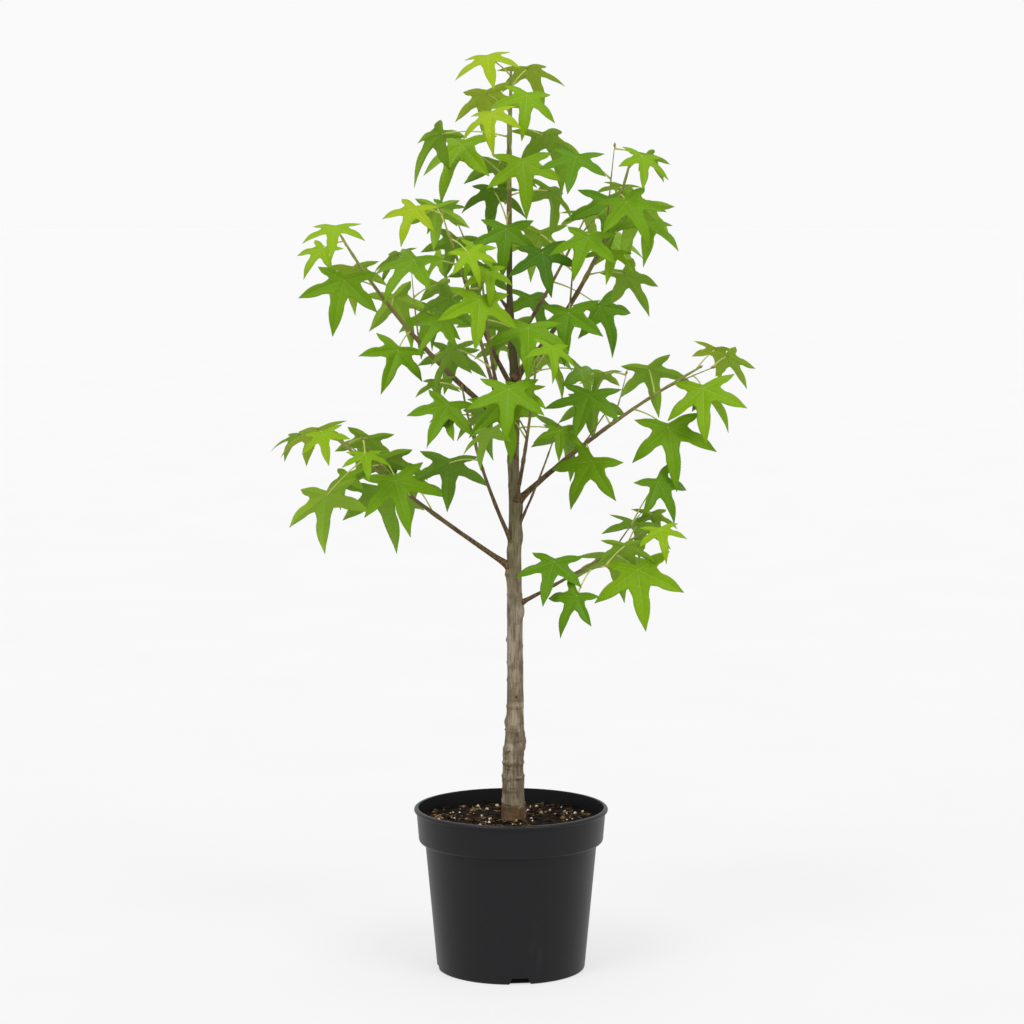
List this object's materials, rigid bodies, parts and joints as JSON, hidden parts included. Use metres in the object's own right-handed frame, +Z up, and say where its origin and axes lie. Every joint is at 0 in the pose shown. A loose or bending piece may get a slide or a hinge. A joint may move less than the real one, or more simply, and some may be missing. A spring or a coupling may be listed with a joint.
{
  "type": "sweetgum tree",
  "caption": "Young potted tree with a slender trunk, spreading boughs and masses of star-shaped leaves in a round black pot.",
  "frame": {"origin": "centre of the pot's flat underside", "axes": "+Z up along the trunk, -Y towards the picture's camera, +X to its right"},
  "size_m": [0.6593, 0.4429, 1.2469],
  "materials": {
    "pot": "black moulded plastic, satin, lightly scuffed",
    "soil": "damp bark potting mix with pale grains",
    "bark": "smooth grey-brown young bark with fine cracks",
    "young_bark": "reddish brown bark of young boughs",
    "foliage": "fresh green leaves, satin above and paler below"
  },
  "bodies": {
    "root": {"pot": "pot", "soil": "soil", "trunk": "bark", "low_left_bough": "young_bark", "low_right_bough": "young_bark", "mid_right_bough": "young_bark", "mid_left_bough": "young_bark", "high_right_bough": "young_bark", "fork_right_bough": "young_bark", "low_front_bough": "young_bark", "low_side_bough": "young_bark", "low_back_bough": "young_bark", "mid_front_bough": "young_bark", "mid_back_bough": "young_bark", "upper_front_bough": "young_bark", "upper_back_bough": "young_bark", "high_left_bough": "young_bark", "low_left_leaves": "foliage", "low_right_leaves": "foliage", "mid_right_leaves": "foliage", "mid_left_leaves": "foliage", "high_right_leaves": "foliage", "leader_leaves": "foliage", "fork_right_leaves": "foliage", "low_front_leaves": "foliage", "low_side_leaves": "foliage", "low_back_leaves": "foliage", "mid_front_leaves": "foliage", "mid_back_leaves": "foliage", "upper_front_leaves": "foliage", "upper_back_leaves": "foliage", "high_left_leaves": "foliage"}
  },
  "joints": []
}
